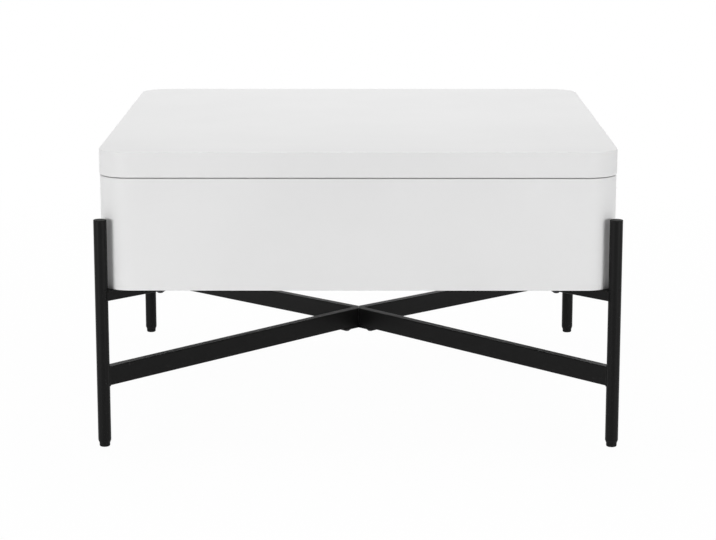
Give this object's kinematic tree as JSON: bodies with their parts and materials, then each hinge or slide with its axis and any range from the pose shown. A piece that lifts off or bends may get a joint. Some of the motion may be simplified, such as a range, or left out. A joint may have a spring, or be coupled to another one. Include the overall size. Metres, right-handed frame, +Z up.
{
  "type": "coffee table",
  "caption": "Square lift-top coffee table: white lacquered storage box with rounded corners and a thick lid that rises level, carried between black tube legs on a crossed base.",
  "frame": {"origin": "on the floor, under the middle of the table", "axes": "+Z up, -Y towards the front, where the lid comes forward; +X to the right seen from the front"},
  "size_m": [0.8012, 0.8012, 0.457],
  "materials": {
    "white_lacquer": "satin white lacquer on fibreboard",
    "beech": "raw beech",
    "soft_rubber": "soft pale rubber",
    "black_powder_coat": "fine-textured black powder coat",
    "black_plastic": "moulded black plastic",
    "black_zinc": "black zinc plating",
    "fitting_steel": "zinc-plated sheet steel",
    "bright_zinc": "bright zinc plating",
    "brass": "turned brass"
  },
  "bodies": {
    "root": {"front_panel": "white_lacquer", "back_panel": "white_lacquer", "left_panel": "white_lacquer", "right_panel": "white_lacquer", "bottom_panel": "white_lacquer", "corner_post_front_left": "white_lacquer", "corner_post_front_right": "white_lacquer", "corner_post_back_left": "white_lacquer", "corner_post_back_right": "white_lacquer", "case_dowels": "beech", "floor_dowels": "beech", "lid_bumpers": "soft_rubber", "leg_front_left": "black_powder_coat", "leg_front_right": "black_powder_coat", "leg_back_left": "black_powder_coat", "leg_back_right": "black_powder_coat", "bracket_front_left": "black_powder_coat", "bracket_front_right": "black_powder_coat", "bracket_back_left": "black_powder_coat", "bracket_back_right": "black_powder_coat", "stretcher_front_left": "black_powder_coat", "stretcher_front_right": "black_powder_coat", "stretcher_back_left": "black_powder_coat", "stretcher_back_right": "black_powder_coat", "cross_plate": "black_powder_coat", "leg_caps": "black_plastic", "bracket_plugs": "black_plastic", "foot_sockets": "black_plastic", "cross_bolts": "black_zinc", "bracket_bolts": "black_zinc", "bracket_washers": "black_zinc", "cross_connector": "fitting_steel", "lift_plate_left": "fitting_steel", "lift_plate_right": "fitting_steel", "plate_pivot_pins": "bright_zinc", "stop_pins": "bright_zinc", "plate_screws": "bright_zinc", "bracket_inserts": "brass"},
    "front_arm_left": {"front_arm_left": "fitting_steel"},
    "front_arm_right": {"front_arm_right": "fitting_steel"},
    "rear_arm_left": {"rear_arm_left": "fitting_steel"},
    "rear_arm_right": {"rear_arm_right": "fitting_steel"},
    "lid": {"lid_board": "white_lacquer", "lid_edge_front": "white_lacquer", "lid_edge_back": "white_lacquer", "lid_edge_left": "white_lacquer", "lid_edge_right": "white_lacquer", "lid_rail_left": "fitting_steel", "lid_rail_right": "fitting_steel", "rail_pivot_pins": "bright_zinc", "rail_screws": "bright_zinc"},
    "levelling_foot_front_left": {"levelling_foot_front_left": "black_plastic"},
    "levelling_foot_front_right": {"levelling_foot_front_right": "black_plastic"},
    "levelling_foot_back_left": {"levelling_foot_back_left": "black_plastic"},
    "levelling_foot_back_right": {"levelling_foot_back_right": "black_plastic"}
  },
  "joints": [
    {"name": "lift", "type": "hinge", "parent": "root", "child": "rear_arm_left", "pos_m": [-0.3695, -0.133, 0.338], "axis": [1, 0, 0], "range_deg": [0, 110]},
    {"name": "lift_rear_right", "type": "hinge", "parent": "root", "child": "rear_arm_right", "pos_m": [0.3695, -0.133, 0.338], "axis": [1, 0, 0], "range_deg": [0, 110]},
    {"name": "lift_front_left", "type": "hinge", "parent": "root", "child": "front_arm_left", "pos_m": [-0.3695, -0.253, 0.338], "axis": [1, 0, 0], "range_deg": [0, 110]},
    {"name": "lift_front_right", "type": "hinge", "parent": "root", "child": "front_arm_right", "pos_m": [0.3695, -0.253, 0.338], "axis": [1, 0, 0], "range_deg": [0, 110]},
    {"name": "lid_level", "type": "hinge", "parent": "rear_arm_left", "child": "lid", "pos_m": [-0.3695, 0.06019, 0.38976], "axis": [1, 0, 0], "range_deg": [-110, 0]},
    {"name": "level_front_left", "type": "slide", "parent": "root", "child": "levelling_foot_front_left", "axis": [0, 0, -1], "range_m": [0, 0.008]},
    {"name": "level_front_right", "type": "slide", "parent": "root", "child": "levelling_foot_front_right", "axis": [0, 0, -1], "range_m": [0, 0.008]},
    {"name": "level_back_left", "type": "slide", "parent": "root", "child": "levelling_foot_back_left", "axis": [0, 0, -1], "range_m": [0, 0.008]},
    {"name": "level_back_right", "type": "slide", "parent": "root", "child": "levelling_foot_back_right", "axis": [0, 0, -1], "range_m": [0, 0.008]}
  ],
  "couplings": [
    {"joint": "lift_rear_right", "follows": "lift", "ratio": 1},
    {"joint": "lift_front_left", "follows": "lift", "ratio": 1},
    {"joint": "lift_front_right", "follows": "lift", "ratio": 1},
    {"joint": "lid_level", "follows": "lift", "ratio": -1}
  ]
}
